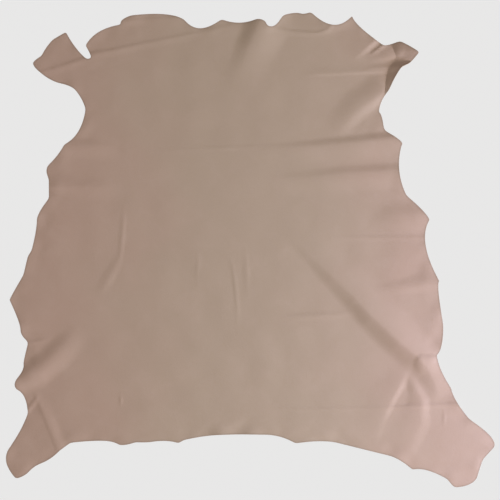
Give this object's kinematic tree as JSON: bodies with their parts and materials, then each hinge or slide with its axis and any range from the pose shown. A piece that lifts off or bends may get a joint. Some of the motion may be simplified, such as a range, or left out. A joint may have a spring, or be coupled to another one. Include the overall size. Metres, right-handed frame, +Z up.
{
  "type": "leather hide",
  "caption": "Whole leather hide laid out flat, grain side up, with shank ends, a scalloped cut edge, soft folds and a turned-up strip at one shank.",
  "frame": {"origin": "centre of the outline's box, on the surface the hide rests on", "axes": "+X towards the hide's right flank, +Y towards its neck, +Z up from the resting surface, grain side up"},
  "size_m": [0.977, 0.9504, 0.0297],
  "materials": {
    "leather": "undyed pinkish beige grain leather, soft satin"
  },
  "bodies": {
    "root": {"hide": "leather"}
  },
  "joints": []
}
